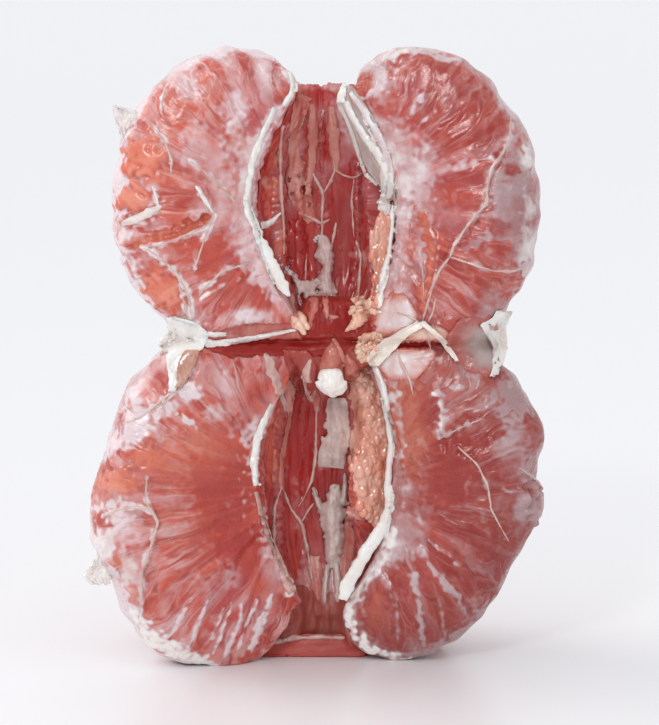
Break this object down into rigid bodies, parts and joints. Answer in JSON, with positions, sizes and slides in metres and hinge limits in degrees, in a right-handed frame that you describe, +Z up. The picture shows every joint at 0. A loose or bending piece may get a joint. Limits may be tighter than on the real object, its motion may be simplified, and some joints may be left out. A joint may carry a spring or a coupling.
{
  "type": "peeled grapefruit",
  "caption": "Peeled pink grapefruit pulled open into two joined halves, standing with one half on the other, with white pith left in the open core.",
  "frame": {"origin": "middle of the fruit's footprint box, on the surface it stands on", "axes": "+Z up through both halves, -Y towards the open cores, +X to the right when looking into them"},
  "size_m": [0.1228, 0.0686, 0.1647],
  "materials": {
    "flesh": "moist translucent segments in a thin membrane",
    "pulp": "wet torn juice sacs",
    "pith": "soft white pith"
  },
  "bodies": {
    "root": {"lower_segment_1": "flesh", "lower_segment_2": "flesh", "lower_segment_3": "flesh", "lower_segment_4": "flesh", "lower_segment_5": "flesh", "lower_segment_6": "flesh", "lower_segment_7": "flesh", "upper_segment_1": "flesh", "upper_segment_2": "flesh", "upper_segment_3": "flesh", "upper_segment_4": "flesh", "upper_segment_5": "flesh", "upper_segment_6": "flesh", "upper_segment_7": "flesh", "upper_segment_8": "flesh", "pole_joint": "pulp", "lower_core_top": "pith", "lower_core_bottom": "pith", "upper_core": "pith", "seam_pith": "pith", "left_waist_pith": "pith", "right_waist_pith": "pith", "upper_left_flap": "pith", "lower_left_flap": "pith"}
  },
  "joints": []
}
